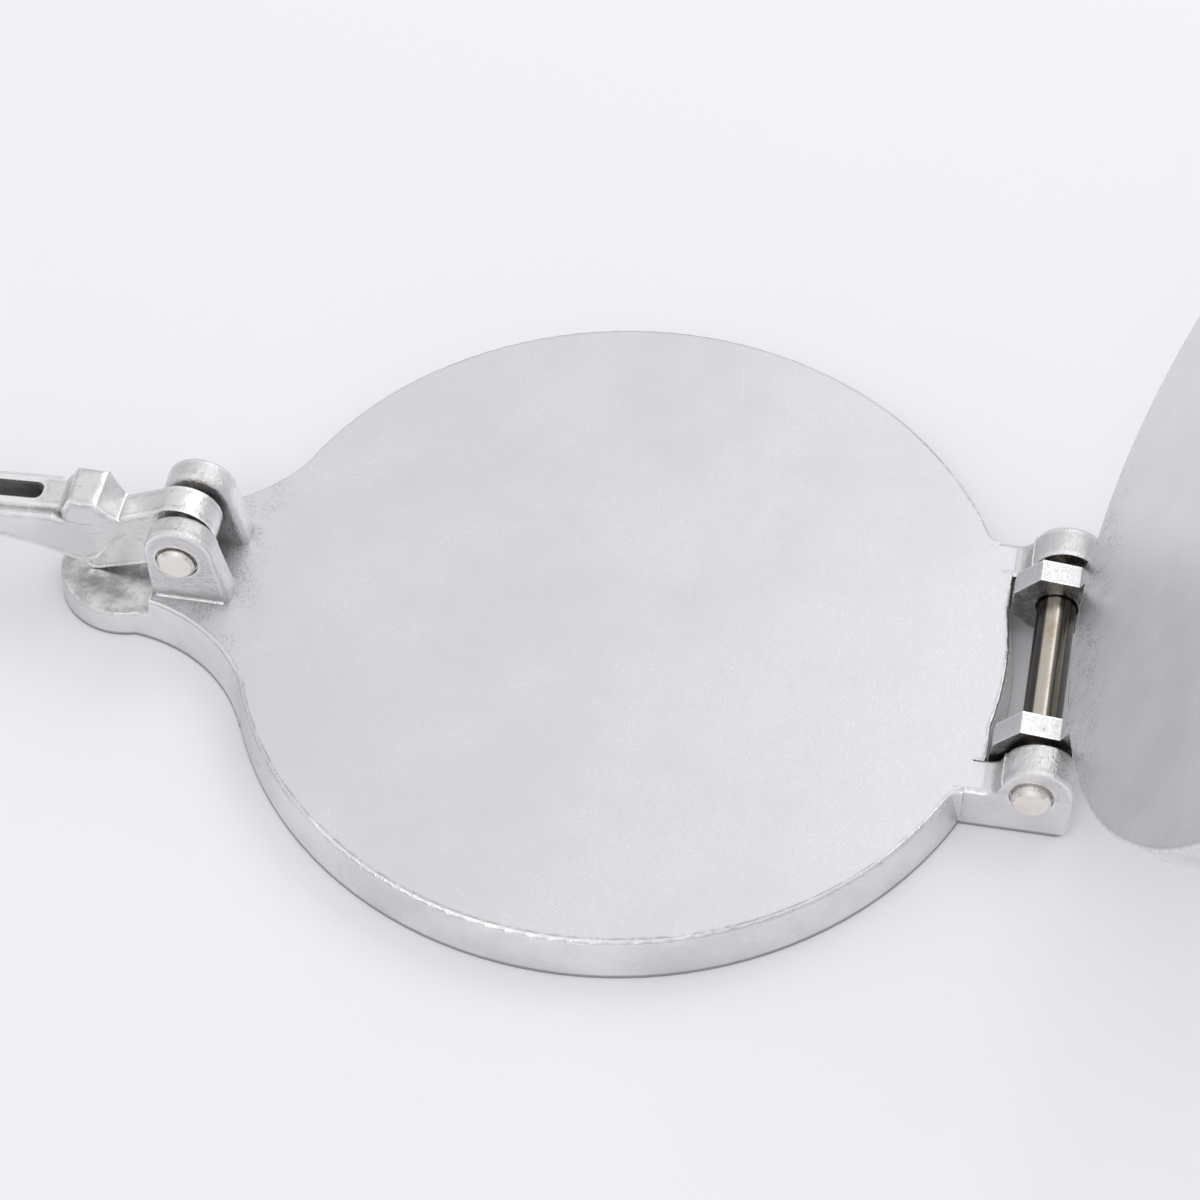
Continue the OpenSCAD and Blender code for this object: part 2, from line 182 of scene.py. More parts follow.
# each pattern's scale as a part of the grain's: a small part gives a large pattern
part_of_grain = {"lumps": 0.27, "patches": 0.02, "pits": 0.22, "flecks": 0.85}
scales = {}
for number, (label, part) in enumerate(part_of_grain.items()):
    row = 460 - 320 * number
    scales[label] = maths(cast_skin, "MULTIPLY", (-760, row), given["Grain Scale"], part)
here = given["Place"]
grain = noise_in(cast_skin, (-600, 300), here, given["Grain Scale"], 3.0, 0.6)
lumps = noise_in(cast_skin, (-600, 460), here, scales["lumps"], 2.0, 0.5)
patches = noise_in(cast_skin, (-600, 60), here, scales["patches"], 4.0, 0.6)
pit_edge, pit_chance = cells_in(cast_skin, -160, here, scales["pits"])
pit_dots = spread(cast_skin, (-200, -160), pit_edge, 0.04, 0.20, 0.7, 0.0)
pit_rare = spread(cast_skin, (-200, -340), pit_chance["Red"], 0.90, 0.93)
pits = maths(cast_skin, "MULTIPLY", (0, -200), pit_dots, pit_rare)
fleck_edge, fleck_chance = cells_in(cast_skin, -560, here, scales["flecks"])
fleck_dots = spread(cast_skin, (-200, -560), fleck_edge, 0.16, 0.34, 1.0, 0.0)
fleck_share = given["Fleck Share"]
fleck_rare = maths(cast_skin, "LESS_THAN", (-200, -740), fleck_chance["Green"], fleck_share)
fleck_crowd = noise_in(cast_skin, (-600, -860), here, scales["patches"], 3.0, 0.6)
fleck_where = spread(cast_skin, (-200, -900), fleck_crowd, 0.43, 0.60)
fleck_marks = maths(cast_skin, "MULTIPLY", (0, -600), fleck_dots, fleck_rare)
flecks = maths(cast_skin, "MULTIPLY", (160, -700), fleck_marks, fleck_where)
swell = maths(cast_skin, "MULTIPLY", (200, 60), lumps, given["Lumps"])
raised = maths(cast_skin, "ADD", (360, 160), grain, swell)
height = maths(cast_skin, "SUBTRACT", (540, 100), raised, pits)
fill(leave, Height=height, Patches=patches, Flecks=flecks)
print("cast skin group:", len(cast_skin.nodes), "nodes")

# %% [markdown]
# ## A group for worn and highlit edges
# Castings are tumbled against each other before they are packed, and every outside edge
# comes out brighter and smoother than the faces beside it. An Ambient Occlusion node that
# looks into the metal, and not out of it, finds such edges: a short way below a flat face
# there is only metal, but beside an edge the other face is near. The group turns that into
# two masks, a bright one on the edge itself, which is wear and also a painted highlight,
# broken up by noise so that it does not look drawn, and a thin one next to it, which is a
# painted dark line of shade. A Bevel node adds the normal of a slightly rounded edge, to
# catch a highlight.
# Each material says how wide the worn band is, and that may change from place to place.

# %% Group: worn and highlit edges
worn_highlit_edges, given, leave = start_group(
    "worn highlit edges",
    [("Place", VECTOR, None), ("Width", FLOAT, 0.0014), ("Breakup", FLOAT, 0.5)],
    [("Mask", FLOAT), ("Line", FLOAT), ("Round Normal", VECTOR)],
)
look_in = add(
    worn_highlit_edges, "ShaderNodeAmbientOcclusion", (-600, 100),
    samples=6, inside=True, only_local=True,
)
metal_near = fill(look_in, Distance=given["Width"]).outputs["AO"]
edge_noise = noise_in(worn_highlit_edges, (-600, -200), given["Place"], 420.0, 3.0, 0.65)
edge_shift = spread(worn_highlit_edges, (-400, -200), edge_noise, 0.3, 0.7, -0.03, 0.05)
edge_depth = maths(worn_highlit_edges, "ADD", (-200, 0), metal_near, edge_shift)
edge_raw = spread(worn_highlit_edges, (0, 100), edge_depth, 0.84, 0.70)
edge_gaps = spread(worn_highlit_edges, (-200, -200), edge_noise, 0.36, 0.60)
edge_solid = maths(worn_highlit_edges, "SUBTRACT", (-200, -400), 1.0, given["Breakup"])
edge_cover = maths(worn_highlit_edges, "MULTIPLY", (0, -240), edge_gaps, given["Breakup"])
edge_share = maths(worn_highlit_edges, "ADD", (160, -240), edge_cover, edge_solid)
edge_mask = maths(worn_highlit_edges, "MULTIPLY", (340, 0), edge_raw, edge_share, clamp=True)
# the thin line beside an edge: a painted dark line of shade
line_in = spread(worn_highlit_edges, (0, 500), metal_near, 0.99, 0.93)
line_out = spread(worn_highlit_edges, (0, 340), edge_depth, 0.79, 0.86)
line_solid = maths(worn_highlit_edges, "MULTIPLY", (200, 420), line_in, line_out)
line_fade = spread(worn_highlit_edges, (200, 560), edge_noise, 0.34, 0.56, 0.6, 1.0)
edge_shade_line = maths(worn_highlit_edges, "MULTIPLY", (360, 420), line_solid, line_fade)
ROUND_SHARE = 0.2  # how much of the worn band the edge's rounding takes
round_by = maths(worn_highlit_edges, "MULTIPLY", (100, 260), given["Width"], ROUND_SHARE)
rounding = fill(add(worn_highlit_edges, "ShaderNodeBevel", (300, 260), samples=4), Radius=round_by)
fill(leave, Mask=edge_mask, Line=edge_shade_line, Round_Normal=rounding.outputs["Normal"])
print("worn highlit edges group:", len(worn_highlit_edges.nodes), "nodes")

# %% [markdown]
# ## A group for shaded, grimy hollows
# A tumbling stone never reaches into a hole, a groove or an inside corner. Those places
# keep the dark skin of the mould and gather grime, and they are darkened with painted
# shade as well. An Ambient Occlusion node tells how shut in a point is. It looks only at
# the piece itself, so the answer does not change when the press is closed.

# %% Group: shaded, grimy hollows
dull_hollows, given, leave = start_group(
    "dull hollows",
    [
        ("Place", VECTOR, None), ("Reach", FLOAT, 0.006),
        ("Open At", FLOAT, 0.75), ("Shut At", FLOAT, 0.2),
    ],
    [("Mask", FLOAT)],
)
look_out = add(
    dull_hollows, "ShaderNodeAmbientOcclusion", (-600, 100), samples=6, only_local=True
)
openness = fill(look_out, Distance=given["Reach"]).outputs["AO"]
hollow_noise = noise_in(dull_hollows, (-600, -160), given["Place"], 420.0, 2.0, 0.6)
hollow_shift = spread(dull_hollows, (-400, -160), hollow_noise, 0.0, 1.0, -0.12, 0.12)
hollow_sum = maths(dull_hollows, "ADD", (-200, 0), openness, hollow_shift)
limits = (given["Shut At"], given["Open At"])
fill(leave, Mask=spread(dull_hollows, (100, 0), hollow_sum, *limits, 1.0, 0.0))
print("dull hollows group:", len(dull_hollows.nodes), "nodes")

# %% [markdown]
# ## A group for fine scratches
# The working faces are skimmed flat, and then years of wiping and stacking leave hair
# scratches, in loose clusters and in several directions. A noise that is stretched some
# fifty times in one direction gives short straight hairs. Three sets of them, turned
# against each other and cut by a broad patchy mask, read as handling marks.

# %% Group: hair scratches
hair_scratches, given, leave = start_group(
    "hair scratches",
    [("Place", VECTOR, None), ("Amount", FLOAT, 0.5)],
    [("Mask", FLOAT)],
)
# each set: its turn in degrees, and its scales across and along the hairs
hair_ways = ((23.0, 2600.0, 45.0), (-52.0, 2100.0, 60.0), (80.0, 3000.0, 38.0))
hairs_so_far = None
for number, (turn, close, far) in enumerate(hair_ways):
    row = 400 - 340 * number
    turned = add(hair_scratches, "ShaderNodeMapping", (-700, row))
    fill(turned, Vector=given["Place"], Rotation=(0.0, 0.0, math.radians(turn)))
    drawn_out = add(hair_scratches, "ShaderNodeMapping", (-520, row))
    fill(drawn_out, Vector=turned.outputs["Vector"], Scale=(far, close, far))
    stretched = drawn_out.outputs["Vector"]
    hairs = noise_in(hair_scratches, (-340, row), stretched, 1.0, 1.0, 0.4)
    thin = spread(hair_scratches, (-160, row), hairs, 0.70, 0.78)
    crowd_at = turned.outputs["Vector"]
    crowd_scale = 38.0 + 9.0 * number
    crowd = noise_in(hair_scratches, (-340, row - 160), crowd_at, crowd_scale, 2.0, 0.6)
    near = spread(hair_scratches, (-160, row - 160), crowd, 0.52, 0.66)
    marks = maths(hair_scratches, "MULTIPLY", (20, row), thin, near)
    if hairs_so_far is not None:
        marks = maths(hair_scratches, "MAXIMUM", (220, row), hairs_so_far, marks)
    hairs_so_far = marks
hair_mask = maths(
    hair_scratches, "MULTIPLY", (560, 60), hairs_so_far, given["Amount"], clamp=True
)
fill(leave, Mask=hair_mask)
print("hair scratches group:", len(hair_scratches.nodes), "nodes")

# %% [markdown]
# ## A group for shaded cheeks
# Where a pin passes through a casting, the cheeks beside it are darkened with a ring of
# painted shade. The group finds a cheek by three things: how far a point is from the pin's
# axis, whether the surface looks along the pin, and how far out along the pin it lies, so
# that only the cheeks that face each other are dark.

# %% Group: shaded cheeks
def split(tree, at, vector):
    """A vector's X, Y and Z, each as a socket."""
    return fill(add(tree, "ShaderNodeSeparateXYZ", at), Vector=vector).outputs


def axis_distance(tree, at, x, z):
    """How far a point is from an axis along Y, from its steps to the side and up."""
    left, middle = at
    square_x = maths(tree, "MULTIPLY", (left, middle + 100), x, x)
    square_z = maths(tree, "MULTIPLY", (left, middle - 100), z, z)
    both = maths(tree, "ADD", (left + 160, middle), square_x, square_z)
    return maths(tree, "SQRT", (left + 320, middle), both)


shaded_cheeks, given, leave = start_group(
    "shaded cheeks",
    [
        ("Place", VECTOR, None), ("Looks", VECTOR, None),
        ("Axis X", FLOAT, 0.0), ("Axis Z", FLOAT, 0.0),
        ("Reach", FLOAT, 0.01), ("Half Width", FLOAT, 0.02),
    ],
    [("Mask", FLOAT)],
)
cheek_at = split(shaded_cheeks, (-700, 200), given["Place"])
cheek_looks = split(shaded_cheeks, (-700, -200), given["Looks"])
from_x = maths(shaded_cheeks, "SUBTRACT", (-500, 300), cheek_at["X"], given["Axis X"])
from_z = maths(shaded_cheeks, "SUBTRACT", (-500, 100), cheek_at["Z"], given["Axis Z"])
from_axis = axis_distance(shaded_cheeks, (-340, 200), from_x, from_z)
of_reach = maths(shaded_cheeks, "DIVIDE", (140, 200), from_axis, given["Reach"])
near_pin = spread(shaded_cheeks, (300, 200), of_reach, 1.0, 0.7)
sideways = maths(shaded_cheeks, "ABSOLUTE", (-500, -200), cheek_looks["Y"])
is_cheek = spread(shaded_cheeks, (-300, -200), sideways, 0.75, 0.9)
far_out = maths(shaded_cheeks, "ABSOLUTE", (-500, -400), cheek_at["Y"])
inner = maths(shaded_cheeks, "LESS_THAN", (-300, -400), far_out, given["Half Width"])
cheek = maths(shaded_cheeks, "MULTIPLY", (0, -300), is_cheek, inner)
cheek_noise = noise_in(shaded_cheeks, (240, -200), given["Place"], 500.0, 3.0, 0.6)
cheek_breakup = spread(shaded_cheeks, (400, -200), cheek_noise, 0.3, 0.6, 0.7, 1.0)
cheek_near = maths(shaded_cheeks, "MULTIPLY", (460, 100), near_pin, cheek)
fill(leave, Mask=maths(shaded_cheeks, "MULTIPLY", (620, 0), cheek_near, cheek_breakup))
print("shaded cheeks group:", len(shaded_cheeks.nodes), "nodes")

# %% [markdown]
# ## Starting and finishing a metal
# Every metal here begins and ends the same way. It begins with a shader that is all
# metal, and with two facts about each point: where it lies, and which way its surface
# looks. It ends with three things joined to the shader: a colour, a roughness and a
# relief. The shader stays in the material, and the groups only feed it.

# %% Recipe: start and finish a metal
def start_metal(name):
    """An empty metal: its material and shader, where a point lies and where it looks."""
    material = bpy.data.materials.new(name)
    material.use_nodes = True
    tree = material.node_tree
    tree.nodes.clear()
    surface = fill(add(tree, "ShaderNodeBsdfPrincipled", (1300, 0)), Metallic=1.0)
    result = add(tree, "ShaderNodeOutputMaterial", (1600, 0))
    fill(result, Surface=surface.outputs["BSDF"])
    place = add(tree, "ShaderNodeTexCoord", (-1200, 0)).outputs
    return material, surface, place["Object"], place["Normal"]


def finish_metal(material, surface, colour, rough, height, **rounded):
    """Joins a colour, a roughness and a height in metres to a metal's shader. The normal
    of a rounded edge may come with them."""
    tree = material.node_tree
    relief = fill(add(tree, "ShaderNodeBump", (1000, -300)), Strength=1.0, Distance=1.0)
    fill(relief, Height=height, **rounded)
    fill(surface, Base_Color=colour, Roughness=rough, Normal=relief.outputs["Normal"])
    print(material.name, "material:", len(tree.nodes), "nodes")
    return material


def use(tree, group, at, here, **values):
    """Places a group in a material, tells it where a point lies, fills in the rest."""
    made = add(tree, "ShaderNodeGroup", at, node_tree=group)
    return fill(made, Place=here, **values).outputs


def tint(tree, at, amount, under, over):
    """Mixes two colours by a mask. A Mix node keeps colours in its sockets 6 and 7."""
    made = add(tree, "ShaderNodeMix", at, data_type="RGBA")
    for slot, value in ((0, amount), (6, under), (7, over)):
        join(made, slot, value)
    return made.outputs[2]


def blend(tree, at, amount, under, over):
    """Mixes two numbers by a mask. A Mix node keeps numbers in its sockets 2 and 3."""
    made = add(tree, "ShaderNodeMix", at, data_type="FLOAT")
    for slot, value in ((0, amount), (2, under), (3, over)):
        join(made, slot, value)
    return made.outputs[0]


print("steps ready: start_metal, finish_metal, use, tint, blend")

# %% [markdown]
# ## The ground faces
# The two plates have a working face that was skimmed flat and blasted to an even satin.
# It is found by its direction and its level: of all the places that look one way, it is
# the largest at one height. The level keeps its finish off narrow strips that look the
# same way, such as the crowns of the lugs. On it lie hair scratches, and small dark
# specks near a pin, where crumbs and grease are caught.

# %% Recipe: a ground face
FACE_TURN = (0.985, 0.998)  # how straight a point must look the face's way: off, on
FACE_LEVEL = (0.0006, 0.0003)  # how near its level a point must lie, in metres: off, on
PATCH_ENDS = (0.3, 0.7)  # where in their noise the broad patches begin and end


def along(tree, at, vector, direction):
    """How far a vector reaches in one direction."""
    made = add(tree, "ShaderNodeVectorMath", at, operation="DOT_PRODUCT")
    join(made, 0, vector)
    join(made, 1, direction)
    return made.outputs["Value"]


def ground_mask(tree, here, looks, face):
    """Where a ground face is."""
    straight = along(tree, (-900, -600), looks, face["looks"])
    turned = spread(tree, (-600, -600), straight, *FACE_TURN)
    depth = along(tree, (-900, -760), here, face["looks"])
    beyond = maths(tree, "SUBTRACT", (-740, -760), depth, face["level"])
    off_level = maths(tree, "ABSOLUTE", (-600, -760), beyond)
    on_level = spread(tree, (-450, -760), off_level, *FACE_LEVEL)
    return maths(tree, "MULTIPLY", (-300, -620), turned, on_level)


def patchy_finish(tree, row, patches, finish):
    """A finish's colour and roughness, which both change in broad patches."""
    share = spread(tree, (-600, row), patches, *PATCH_ENDS)
    colour = tint(tree, (-300, row), share, finish["dark"], finish["light"])
    rough = spread(tree, (-300, row - 240), patches, *PATCH_ENDS, *finish["rough"])
    return colour, rough


def pin_specks(tree, here, axis_x, axis_z, clear_at, worn_at):
    """Small specks in loose clusters, thick at worn_at from a pin, gone at clear_at."""
    lies = split(tree, (-1100, -2000), here)
    from_x = maths(tree, "SUBTRACT", (-940, -1900), lies["X"], axis_x)
    from_z = maths(tree, "SUBTRACT", (-940, -2100), lies["Z"], axis_z)
    from_pin = axis_distance(tree, (-780, -2000), from_x, from_z)
    close_by = spread(tree, (-300, -2000), from_pin, clear_at, worn_at)
    speck_noise = noise_in(tree, (-700, -2300), here, 1700.0, 2.0, 0.7)
    speck = spread(tree, (-500, -2300), speck_noise, 0.46, 0.64)
    cluster_noise = noise_in(tree, (-700, -2500), here, 230.0, 3.0, 0.6)
    clustered = spread(tree, (-500, -2500), cluster_noise, 0.38, 0.62)
    speck_here = maths(tree, "MULTIPLY", (-300, -2400), speck, clustered)
    return maths(tree, "MULTIPLY", (-120, -2200), close_by, speck_here)


def ground_finish(tree, here, patches, face):
    """A ground face's colour and roughness, with its scratches and specks."""
    colour, rough = patchy_finish(tree, -900, patches, face)
    hairs = use(tree, hair_scratches, (-900, -300), here, Amount=face["hairs"])
    colour = tint(tree, (-100, -900), hairs["Mask"], colour, face["hair_colour"])
    specks = pin_specks(tree, here, *face["worn_by"])
    colour = tint(tree, (60, -900), specks, colour, face["speck_colour"])
    return colour, rough


print("steps ready: ground_mask, patchy_finish, pin_specks, ground_finish")

# %% [markdown]
# ## Edges and foot
# How wide an edge is worn depends on where it is: the rim of the flat plate has a narrow
# bright band, worn and painted as a highlight, and the lugs and ears that stand up from it
# a broad one. The painted dark line of shade beside an edge keeps to the ground face and to
# what stands above it, and it fades out towards the far side. A step beside the ears is
# never tumbled and keeps its blotchy mould skin, darkened with painted shade, and a thin
# painted contact shadow darkens the foot of the wall.

# %% Recipe: edges and foot
FAR_FADE = (0.03, -0.01, 0.15, 1.0)  # from this Y to that, in metres, and the line's share
FOOT_SHADOW = (0.0011, 0.0004, 0.0, 0.7)  # from this height to that, and the painted shadow's share
STEP_LEVEL = (0.0006, 0.0002)  # how little above the step a point must lie: off, on


def by_height(tree, at, height, limits, ends):
    """A number that changes between two heights, or just the number if it does not."""
    if ends[0] == ends[1]:
        return ends[0]
    return spread(tree, at, height, *limits, *ends)


def edge_marks(tree, here, skin, flat=None):
    """Masks for the worn and highlit edges and the painted dark line of shade, and a rounded
    edge's normal.
    """
    lies = split(tree, (-1200, 300), here)
    width = by_height(tree, (-1050, 300), lies["Z"], skin["rises"], skin["edge_width"])
    edges = use(tree, worn_highlit_edges, (-900, 200), here, Width=width, Breakup=skin["breakup"])
    share = by_height(tree, (-1050, 450), lies["Z"], skin["rises"], skin["line"])
    near_side = spread(tree, (-1050, 600), lies["Y"], *FAR_FADE)
    line_here = maths(tree, "MULTIPLY", (-100, 900), near_side, share)
    if flat is not None:
        above = spread(tree, (-100, 1050), lies["Z"], *skin["rises"])
        ground = maths(tree, "MAXIMUM", (100, 1050), flat, above)
        line_here = maths(tree, "MULTIPLY", (260, 1050), line_here, ground)
    line = maths(tree, "MULTIPLY", (420, 900), edges["Line"], line_here)
    worn_highlight = maths(tree, "MULTIPLY", (100, 700), edges["Mask"], skin["wear_and_highlight"])
    return worn_highlight, line, edges["Round Normal"]


def step_mask(tree, here, looks, step_at):
    """Where a step at one height looks up."""
    height = split(tree, (-900, -1300), here)["Z"]
    upward = split(tree, (-900, -1450), looks)["Z"]
    off, on = STEP_LEVEL
    low = spread(tree, (-600, -1300), height, step_at + off, step_at + on)
    level = spread(tree, (-600, -1500), upward, 0.5, 0.9)
    return maths(tree, "MULTIPLY", (-300, -1300), low, level)


def mould_and_shade_tone(tree, here, skin):
    """The blotchy colour of mould skin that nothing has polished, darkened with painted shade.
    """
    blotch_noise = noise_in(tree, (-500, -1850), here, 210.0, 3.0, 0.6)
    blotchy = spread(tree, (-300, -1850), blotch_noise, 0.36, 0.62)
    return tint(tree, (-100, -1400), blotchy, skin["mould_and_shade_dark"], skin["mould_and_shade_light"])


print("steps ready: edge_marks, step_mask, mould_and_shade_tone")

# %% [markdown]
# ## The cast aluminium recipe
# All three castings are the same metal with three different surfaces on it. Each casting
# says how coarse its skin is, how far it has been tumbled, and, for the two plates, what
# its ground face is like. The recipe then lays one colour over another: the skin, the
# grinding, the wear with its painted highlights, and last of all painted shade and grime.

# %% Recipe: a cast aluminium material
POLISHED = 0.12  # how much smoother a worn edge is
DULLED = 0.25  # how much rougher a hollow is
CHEEK_SHADE_SHARE = 0.85  # how dark the painted shade on a cheek is


def lay_shade_and_grime(tree, here, looks, skin, cheeks, colour):
    """Darkens the hollows with painted shade and grime, and the cheeks beside the pins with
    painted shade. Gives the hollows' mask too.
    """
    hollows = use(
        tree, dull_hollows, (-900, -50), here,
        Reach=skin["reach"], Open_At=skin["open"], Shut_At=skin["shut"],
    )
    dull = maths(tree, "MULTIPLY", (300, -50), hollows["Mask"], skin["shade_and_grime"])
    # hollows darkened with painted shade and grime
    colour = tint(tree, (700, 400), dull, colour, skin["hollow"])
    for number, (axis_x, axis_z, far, half_width) in enumerate(cheeks):
        row = 900 + 300 * number
        cheek = use(
            tree, shaded_cheeks, (500, row), here, Looks=looks,
            Axis_X=axis_x, Axis_Z=axis_z, Reach=far, Half_Width=half_width,
        )
        # the cheeks beside a pin darkened with painted shade
        cheek_darkening = maths(tree, "MULTIPLY", (660, row), cheek["Mask"], CHEEK_SHADE_SHARE)
        colour = tint(tree, (860, row - 400), cheek_darkening, colour, skin["cheek_shade"])
    return colour, dull


def cast_aluminium(name, skin, face=None, cheeks=(), step_at=None):
    """A casting's material. skin and face hold numbers and colours. cheeks lists where
    pins pass through, for painted shade on their cheeks, and step_at is the height of a step
    that keeps its mould skin, darkened with painted shade."""
    material, surface, here, looks = start_metal(name)
    tree = material.node_tree
    cast = use(
        tree, cast_skin, (-900, 500), here,
        Grain_Scale=skin["grain"], Fleck_Share=skin["flecks"], Lumps=skin["lumps"],
    )
    colour, rough = patchy_finish(tree, 500, cast["Patches"], skin)
    fine = maths(tree, "MULTIPLY", (-300, -100), cast["Height"], skin["bump"])
    flat = None
    if face:
        flat = ground_mask(tree, here, looks, face)
        face_colour, face_rough = ground_finish(tree, here, cast["Patches"], face)
        colour = tint(tree, (100, 400), flat, colour, face_colour)
        rough = blend(tree, (100, 100), flat, rough, face_rough)
        calm = face["bump"] / skin["bump"]
        calmed = spread(tree, (-300, -1100), flat, 0.0, 1.0, 1.0, calm)
        fine = maths(tree, "MULTIPLY", (-100, -200), fine, calmed)
    if step_at:
        on_step = step_mask(tree, here, looks, step_at)
        # the step keeps its blotchy mould skin, darkened with painted shade
        tone = mould_and_shade_tone(tree, here, skin)
        colour = tint(tree, (200, 600), on_step, colour, tone)
    height = split(tree, (-900, -1600), here)["Z"]
    coarser = by_height(tree, (-600, -1700), height, skin["rises"], skin["coarser"])
    fine = maths(tree, "MULTIPLY", (0, -300), fine, coarser)
    # bright flecks, painted glints
    colour = tint(tree, (300, 400), cast["Flecks"], colour, skin["glint_colour"])
    worn_highlight, line, rounded = edge_marks(tree, here, skin, flat)
    # a painted dark line of shade beside the edges
    colour = tint(tree, (400, 600), line, colour, skin["hollow"])
    # bright worn edges, which are also a painted highlight
    colour = tint(tree, (500, 400), worn_highlight, colour, skin["worn_highlight_colour"])
    if step_at:
        # a painted contact shadow along the foot of the wall
        foot_shadow = spread(tree, (300, -1300), height, *FOOT_SHADOW)
        colour = tint(tree, (600, 600), foot_shadow, colour, skin["hollow"])
    # painted shade and grime in the hollows, painted shade on the pins' cheeks
    colour, dull = lay_shade_and_grime(tree, here, looks, skin, cheeks, colour)
    smoother = maths(tree, "MULTIPLY", (400, 200), worn_highlight, POLISHED)
    rough = maths(tree, "SUBTRACT", (560, 200), rough, smoother)
    rougher = maths(tree, "MULTIPLY", (500, 100), dull, DULLED)
    rough = maths(tree, "ADD", (700, 100), rough, rougher, clamp=True)
    return finish_metal(material, surface, colour, rough, fine, Normal=rounded)


print("recipe ready: lay_shade_and_grime, cast_aluminium")

# %% [markdown]
# ## The base casting
# The base has two finishes. Its round working face has been skimmed and blasted to an
# even, slightly cool satin. The rim, the lugs and the ears keep the cast skin, softened
# by tumbling, and a dark line of painted contact shadow runs round the foot. What stands
# up from the plate is coarser and has broader worn edges, from the height at which the
# plate ends.

# %% Numbers for the castings
def grey(level, red=0.0, blue=0.0):
    """An almost neutral colour, with a little more or less red and blue than green."""
    return (level * (1.0 + red), level, level * (1.0 + blue), 1.0)


tumbled = {
    # the skin: how fine, how lumpy, how many bright flecks, and its height in metres
    "grain": 2300.0, "lumps": 1.3, "flecks": 0.42, "bump": 0.0001,
    "dark": grey(0.70), "light": grey(0.86), "rough": (0.22, 0.34),
    "glint_colour": grey(0.90), "mould_and_shade_dark": (0.55, 0.545, 0.53, 1.0),
    "mould_and_shade_light": (0.88, 0.87, 0.86, 1.0),
    # where it rises from the plate, in metres, and what changes between those heights:
    # the coarseness of the relief, the width of a worn edge and the share of painted dark line
    "rises": (0.0107, 0.0125), "coarser": (1.0, 2.1),
    "edge_width": (0.0009, 0.0022), "line": (1.0, 0.25),
    # worn edges, which are also painted highlights: how broken up, how bright
    "breakup": 0.3, "wear_and_highlight": 0.95, "worn_highlight_colour": grey(0.97),
    # hollows: how far to look out, in metres, what counts as open and shut, the painted shade
    # and grime, and the colours of painted shade
    "reach": 0.010, "open": 0.80, "shut": 0.26, "shade_and_grime": 0.75,
    "hollow": grey(0.15), "cheek_shade": (0.15, 0.14, 0.135, 1.0),
}
working_face = {
    "dark": grey(0.725, 0.006, 0.032), "light": grey(0.755, 0.006, 0.032),
    "rough": (0.35, 0.40), "bump": 0.000022, "hairs": 0.35, "hair_colour": grey(0.88),
}
print("numbers for a skin:", len(tumbled), "and for a ground face:", len(working_face))

# %% [markdown]
# ## Finding the places on the solids
# The finishes have to sit where the solids are: the painted shade at the pins, and the satin
# on the working faces. Their sizes could be typed in again here, but then a change to a
# solid would leave its finish behind. So they are measured: a pin's box gives its axis,
# and the largest flat area that looks one way gives a face's level.

# %% Dress the base casting
def axis_of(pin):
    """Where a pin's axis lies, as its X and Z in metres, and half the pin's length."""
    low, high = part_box(pin)
    return (low[0] + high[0]) / 2, (low[2] + high[2]) / 2, (high[1] - low[1]) / 2


def face_level(piece, looks):
    """How far out the largest flat area that looks one way lies, in metres."""
    areas = {}
    for polygon in piece.data.polygons:
        if polygon.normal.dot(looks) > 0.999:
            out = round(polygon.center.dot(looks), 4)
            areas[out] = areas.get(out, 0.0) + polygon.area
    return max(areas, key=areas.get)


def dress(node_name, material):
    """Puts a material in every slot of a CAD node."""
    piece = node_of[node_name]
    for place in piece.material_slots:
        place.material = material
    print(node_name, "wears", material.name, "on", len(piece.material_slots), "slot(s)")


STEP_TOP = 6.3 * MM
UP = Vector((0.0, 0.0, 1.0))
hinge_x, hinge_z, hinge_half = axis_of("hinge_pin")
lever_x, lever_z, lever_half = axis_of("lever_pin")
# worn_by: the pin's axis, how far from it the specks end, and where they are thickest
base_face = dict(
    working_face, looks=tuple(UP), level=face_level(node_of["base_plate"], UP),
    worn_by=(lever_x, lever_z, 0.023, 0.013), speck_colour=grey(0.50),
)
# each cheek: the pin's axis, the ring's reach, and how far out from the middle it lies
base_cheeks = [
    (hinge_x, hinge_z, 0.0125, hinge_half - 0.006),
    (lever_x, lever_z, 0.0075, lever_half - 0.003),
]
print("the base's working face lies at", round(base_face["level"] * 1000, 2), "mm")
base_metal = cast_aluminium("base_casting", tumbled, base_face, base_cheeks, STEP_TOP)
dress("base_plate", base_metal)

# %% [markdown]
# ## The top casting
# The top plate stands open and leans back, and its working face looks down at the hinge.
# That face is the same satin, a little glossier, so it holds a blurred reflection of the
# lugs. Its direction is worked out from the hinge: shut, it looks straight down, and the
# hinge has turned it back by the opening angle. The painted dark line of shade beside its
# edges is strongest at the top, far from the hinge.

# %% Dress the top casting
hinge = [j for j in frame["joints"] if j["name"] == "plate_hinge"][0]
opened = math.radians(max(hinge["range_deg"]))
face_looks = Matrix.Rotation(opened, 3, "Y") @ -UP
print("open by", round(math.degrees(opened), 1), "degrees")
print("the face looks along", [round(v, 3) for v in face_looks])
top_face = dict(
    working_face, looks=tuple(face_looks), level=face_level(node_of["top_plate"], face_looks),
    dark=grey(0.70, -0.005, 0.018), light=grey(0.765, -0.005, 0.018), rough=(0.27, 0.34),
    bump=0.000016, worn_by=(hinge_x, hinge_z, 0.030, 0.012), speck_colour=grey(0.42),
)
print("the top's working face lies", round(top_face["level"] * 1000, 2), "mm along that line")
top_skin = dict(
    tumbled, flecks=0.6, bump=0.00014, rises=(0.0, 0.2), coarser=(1.0, 1.0),
    edge_width=(0.0009, 0.0009), line=(0.35, 0.35),
)
